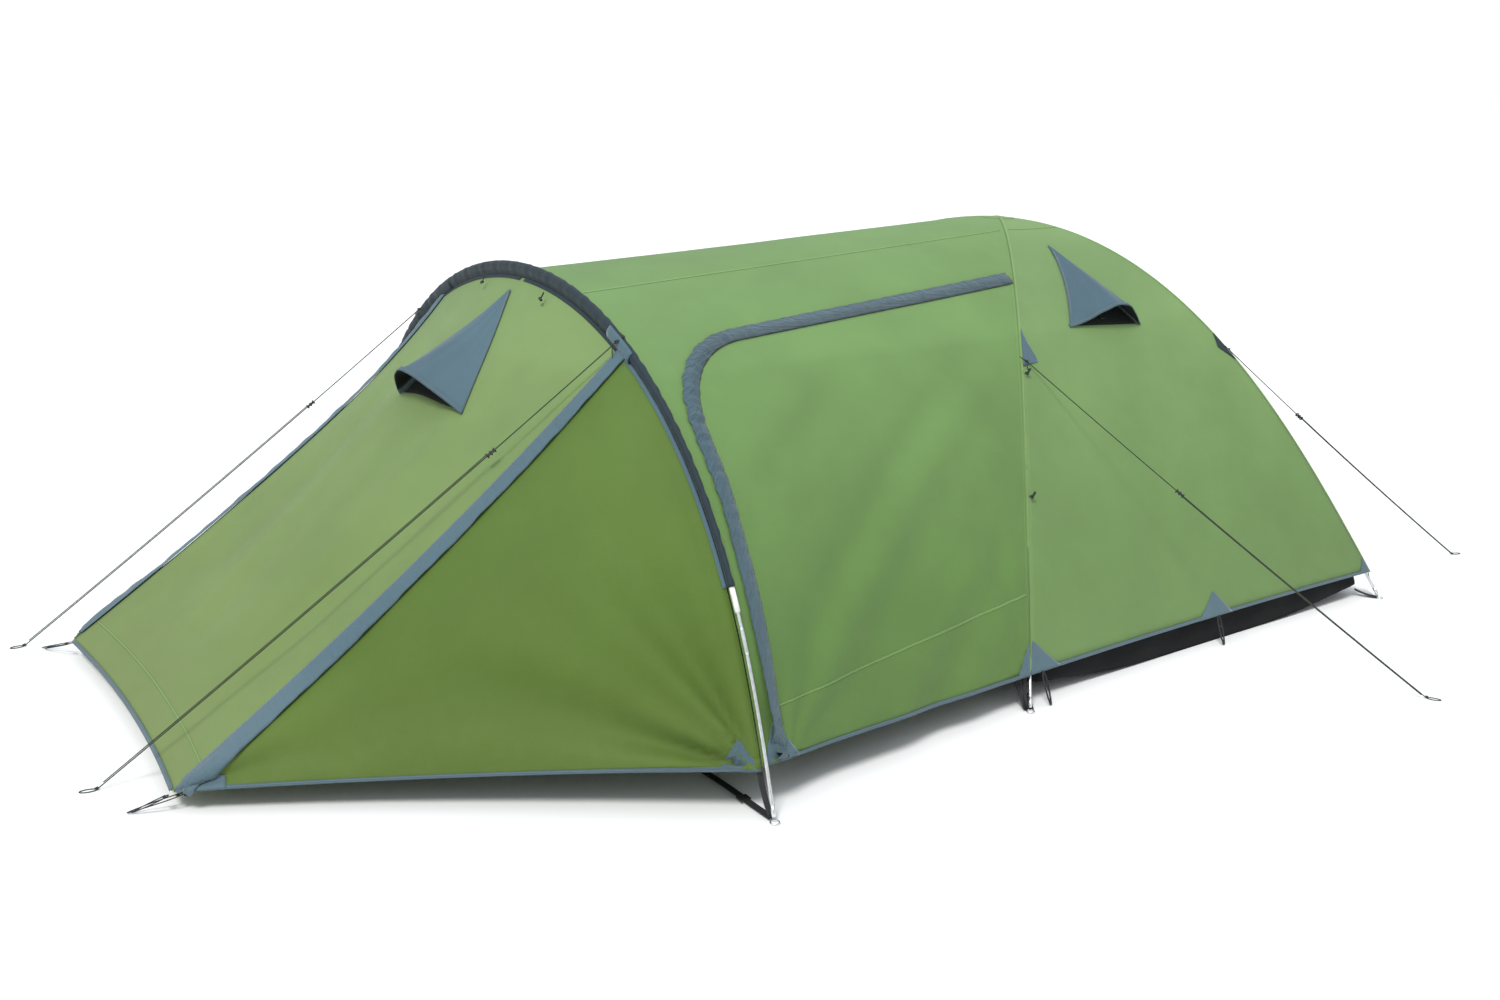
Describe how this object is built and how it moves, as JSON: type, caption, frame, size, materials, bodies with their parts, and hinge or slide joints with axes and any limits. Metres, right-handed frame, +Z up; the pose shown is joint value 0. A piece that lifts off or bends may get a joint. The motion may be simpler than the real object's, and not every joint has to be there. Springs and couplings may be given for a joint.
{
  "type": "dome tent with vestibule",
  "caption": "Dome tent with crossed poles, a long arch-pole vestibule, zipped side doors, front panel, vents and guy lines",
  "frame": {"origin": "middle of the pitched tent at ground level, its box measured without the guy lines", "axes": "+X to the rear (dome end), +Y to the far side, +Z up; the side with the visible door faces -Y"},
  "size_m": [4.8669, 3.4982, 1.275],
  "materials": {
    "fly_fabric": "light olive green coated polyester, matt sheen",
    "wing_fabric": "deeper olive green coated polyester",
    "trim_fabric": "slate grey polyester binding and flaps",
    "sleeve_fabric": "dark slate grey pole sleeve",
    "floor_fabric": "black coated groundsheet",
    "inner_fabric": "light grey breathable polyester and mesh",
    "pole_metal": "anodised silver tube",
    "ferrule": "off-white sleeve",
    "webbing": "black polypropylene webbing",
    "guy_cord": "dark braided guy line",
    "black_plastic": "black moulded plastic"
  },
  "bodies": {
    "tent_body": {"dome_pole_near_front": "pole_metal", "dome_pole_far_front": "pole_metal", "arch_pole": "pole_metal", "arch_sleeve": "sleeve_fabric", "arch_ferrule_near": "ferrule", "arch_ferrule_far": "ferrule", "crossing_clip": "black_plastic", "foot_tab_front_near": "webbing", "foot_tab_front_far": "webbing", "foot_tab_rear_near": "webbing", "foot_tab_rear_far": "webbing", "foot_ring_arch_near": "pole_metal", "foot_ring_arch_far": "pole_metal", "arch_strap": "webbing", "strap_buckle": "black_plastic", "fly_side_near": "fly_fabric", "fly_side_far": "fly_fabric", "fly_rear": "fly_fabric", "fly_tunnel": "fly_fabric", "wing_near": "wing_fabric", "wing_far": "wing_fabric", "zip_flap_near": "trim_fabric", "zip_flap_far": "trim_fabric", "vent_hood_near": "trim_fabric", "vent_hood_far": "trim_fabric", "fly_peak": "fly_fabric", "floor_tub": "floor_fabric", "inner_wall_near": "inner_fabric", "inner_wall_rear": "inner_fabric", "inner_wall_far": "inner_fabric", "inner_wall_front": "inner_fabric", "door_toggle_near_1": "black_plastic", "door_toggle_near_2": "black_plastic", "arch_toggle_near": "black_plastic", "door_toggle_far_1": "black_plastic", "door_toggle_far_2": "black_plastic", "arch_toggle_far": "black_plastic", "guy_arch_near": "guy_cord", "guy_arch_far": "guy_cord", "guy_side_near": "guy_cord", "guy_side_far": "guy_cord", "guy_rear_near": "guy_cord", "guy_rear_far": "guy_cord"},
    "side_door_near": {"side_door_near": "fly_fabric", "door_flap_near": "trim_fabric"},
    "side_door_far": {"side_door_far": "fly_fabric", "door_flap_far": "trim_fabric"},
    "front_panel": {"front_panel": "fly_fabric", "vent_hood_front": "trim_fabric"},
    "inner_door": {"inner_door": "inner_fabric"},
    "vent_prop_front": {"vent_prop_front": "black_plastic"},
    "vent_prop_near": {"vent_prop_near": "black_plastic"},
    "vent_prop_far": {"vent_prop_far": "black_plastic"},
    "guy_slider_arch_near": {"guy_slider_arch_near": "black_plastic"},
    "guy_slider_arch_far": {"guy_slider_arch_far": "black_plastic"},
    "guy_slider_side_near": {"guy_slider_side_near": "black_plastic"},
    "guy_slider_side_far": {"guy_slider_side_far": "black_plastic"},
    "guy_slider_rear_near": {"guy_slider_rear_near": "black_plastic"},
    "guy_slider_rear_far": {"guy_slider_rear_far": "black_plastic"}
  },
  "joints": [
    {"name": "side_door_near_swing", "type": "hinge", "parent": "tent_body", "child": "side_door_near", "pos_m": [0.50693, -0.86325, 0.63333], "axis": [0.4004, 0.5383, 0.7416], "range_deg": [0, 80]},
    {"name": "side_door_far_swing", "type": "hinge", "parent": "tent_body", "child": "side_door_far", "pos_m": [0.50693, 0.86325, 0.63333], "axis": [-0.4004, 0.5383, -0.7416], "range_deg": [0, 80]},
    {"name": "front_panel_drop", "type": "hinge", "parent": "tent_body", "child": "front_panel", "pos_m": [-2.01044, 0, 0.05], "axis": [0, 1, 0], "range_deg": [0, 34]},
    {"name": "inner_door_swing", "type": "hinge", "parent": "tent_body", "child": "inner_door", "pos_m": [0.54631, 0.40071, 0.70248], "axis": [-0.4647, 0.3674, -0.8056], "range_deg": [0, 36]},
    {"name": "vent_prop_front_fold", "type": "hinge", "parent": "front_panel", "child": "vent_prop_front", "pos_m": [-1.08278, -0.03332, 0.84321], "axis": [-0.0597, 0.9974, -0.0391], "range_deg": [0, 70]},
    {"name": "vent_prop_near_fold", "type": "hinge", "parent": "tent_body", "child": "vent_prop_near", "pos_m": [1.07328, -0.55174, 0.99509], "axis": [-0.9991, -0.0053, 0.0416], "range_deg": [0, 70]},
    {"name": "vent_prop_far_fold", "type": "hinge", "parent": "tent_body", "child": "vent_prop_far", "pos_m": [1.07328, 0.55174, 0.99509], "axis": [0.9991, -0.0053, -0.0416], "range_deg": [0, 70]},
    {"name": "guy_slider_arch_near_slide", "type": "slide", "parent": "tent_body", "child": "guy_slider_arch_near", "axis": [-0.7767, 0.1238, -0.6177], "range_m": [-0.12, 0.12]},
    {"name": "guy_slider_arch_far_slide", "type": "slide", "parent": "tent_body", "child": "guy_slider_arch_far", "axis": [-0.8073, -0.0139, -0.59], "range_m": [-0.12, 0.12]},
    {"name": "guy_slider_side_near_slide", "type": "slide", "parent": "tent_body", "child": "guy_slider_side_near", "axis": [0.4352, -0.6926, -0.5753], "range_m": [-0.12, 0.12]},
    {"name": "guy_slider_side_far_slide", "type": "slide", "parent": "tent_body", "child": "guy_slider_side_far", "axis": [0.4352, 0.6926, -0.5753], "range_m": [-0.12, 0.12]},
    {"name": "guy_slider_rear_near_slide", "type": "slide", "parent": "tent_body", "child": "guy_slider_rear_near", "axis": [0.7684, -0.218, -0.6017], "range_m": [-0.12, 0.12]},
    {"name": "guy_slider_rear_far_slide", "type": "slide", "parent": "tent_body", "child": "guy_slider_rear_far", "axis": [0.7684, 0.218, -0.6017], "range_m": [-0.12, 0.12]}
  ]
}
